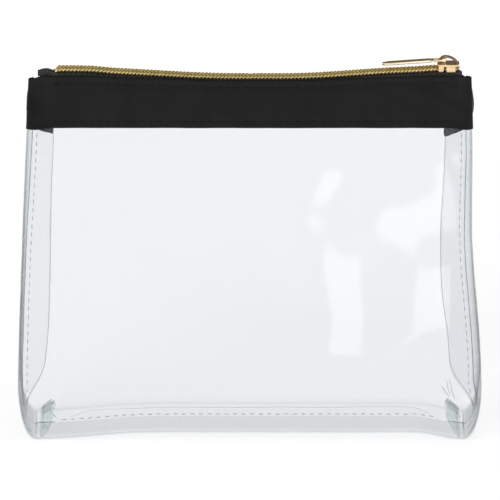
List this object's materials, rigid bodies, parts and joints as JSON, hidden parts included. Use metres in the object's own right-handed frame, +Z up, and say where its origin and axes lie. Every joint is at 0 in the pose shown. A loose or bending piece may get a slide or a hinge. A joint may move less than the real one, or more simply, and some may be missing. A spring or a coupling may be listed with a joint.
{
  "type": "makeup bag",
  "caption": "Clear wedge-shaped zip pouch on a boxed base, with dark cloth bands round the mouth, a coil zip, and a slider with an arched bridge and a flat bar pull.",
  "frame": {"origin": "middle of the underside of the base, on the surface the bag stands on", "axes": "+X to the right along the mouth, the slider parks at the +X end; the front faces -Y; +Z up"},
  "size_m": [0.2028, 0.05, 0.1682],
  "materials": {
    "clear_film": "clear, glossy flexible PVC film",
    "band_cloth": "soft black satin-faced nylon with a low sheen and small puckers",
    "zip_tape": "black herringbone woven polyester tape",
    "zip_coil": "gold metallised nylon coil",
    "slider_metal": "polished pale gold plating over cast metal",
    "bridge_metal": "polished gold plating, darker in its hollow",
    "pull_metal": "polished pale gold plating with softened edges",
    "film_thread": "clear-white sewing thread",
    "band_thread": "black sewing thread"
  },
  "bodies": {
    "root": {"front_panel": "clear_film", "back_base": "clear_film", "front_band": "band_cloth", "front_tape": "zip_tape", "back_tape_ends": "zip_tape", "front_coil": "zip_coil", "back_coil_ends": "zip_coil", "side_seam_left": "film_thread", "side_seam_right": "film_thread", "base_seam": "film_thread", "corner_seam_left": "film_thread", "corner_seam_right": "film_thread", "front_hem_stitch": "band_thread", "front_top_stitch": "band_thread", "front_tape_stitch": "band_thread"},
    "back_wall": {"back_panel": "clear_film", "back_band": "band_cloth", "back_tape": "zip_tape", "back_coil": "zip_coil", "back_hem_stitch": "band_thread", "back_top_stitch": "band_thread", "back_tape_stitch": "band_thread"},
    "slider": {"slider_body": "slider_metal", "slider_bridge": "bridge_metal"},
    "pull": {"pull_tab": "pull_metal"}
  },
  "joints": [
    {"name": "zip_slide", "type": "slide", "parent": "root", "child": "slider", "axis": [-1, 0, 0], "range_m": [0, 0.164]},
    {"name": "pull_swing", "type": "hinge", "parent": "slider", "child": "pull", "pos_m": [0.0846, 0, 0.166], "axis": [0, 1, 0], "range_deg": [0, 165]},
    {"name": "back_lip", "type": "hinge", "parent": "root", "child": "back_wall", "pos_m": [0, 0.02463, 0.0036], "axis": [-1, 0, 0], "range_deg": [0, 10]}
  ],
  "couplings": [
    {"joint": "back_lip", "follows": "zip_slide", "rad_per_m": 1.064}
  ]
}
